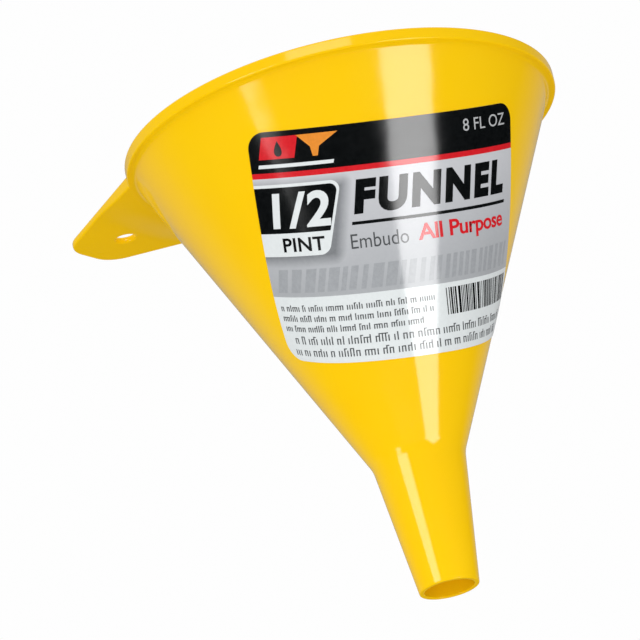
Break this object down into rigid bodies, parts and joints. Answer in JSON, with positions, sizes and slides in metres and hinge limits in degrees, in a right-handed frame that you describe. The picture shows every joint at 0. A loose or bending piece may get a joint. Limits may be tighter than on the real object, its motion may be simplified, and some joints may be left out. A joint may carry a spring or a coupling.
{
  "type": "funnel",
  "caption": "Small hand funnel for pouring fluids: conical bowl with a thickened rim, a flat hang tab with a hole, a tapered spout and a printed wrap label.",
  "frame": {"origin": "centre of the spout's outlet, on the funnel's axis", "axes": "+Z along the funnel's axis from the outlet to the mouth, -Y through the middle of the label; the hang tab points 138.5 degrees from -Y, towards -X"},
  "size_m": [0.1039, 0.1093, 0.112],
  "materials": {
    "moulding": "glossy yellow moulded polyethylene",
    "label_film": "glossy printed pressure-sensitive film"
  },
  "bodies": {
    "root": {"bowl": "moulding", "rim_band": "moulding", "hang_tab": "moulding", "spout": "moulding", "label": "label_film"}
  },
  "joints": []
}
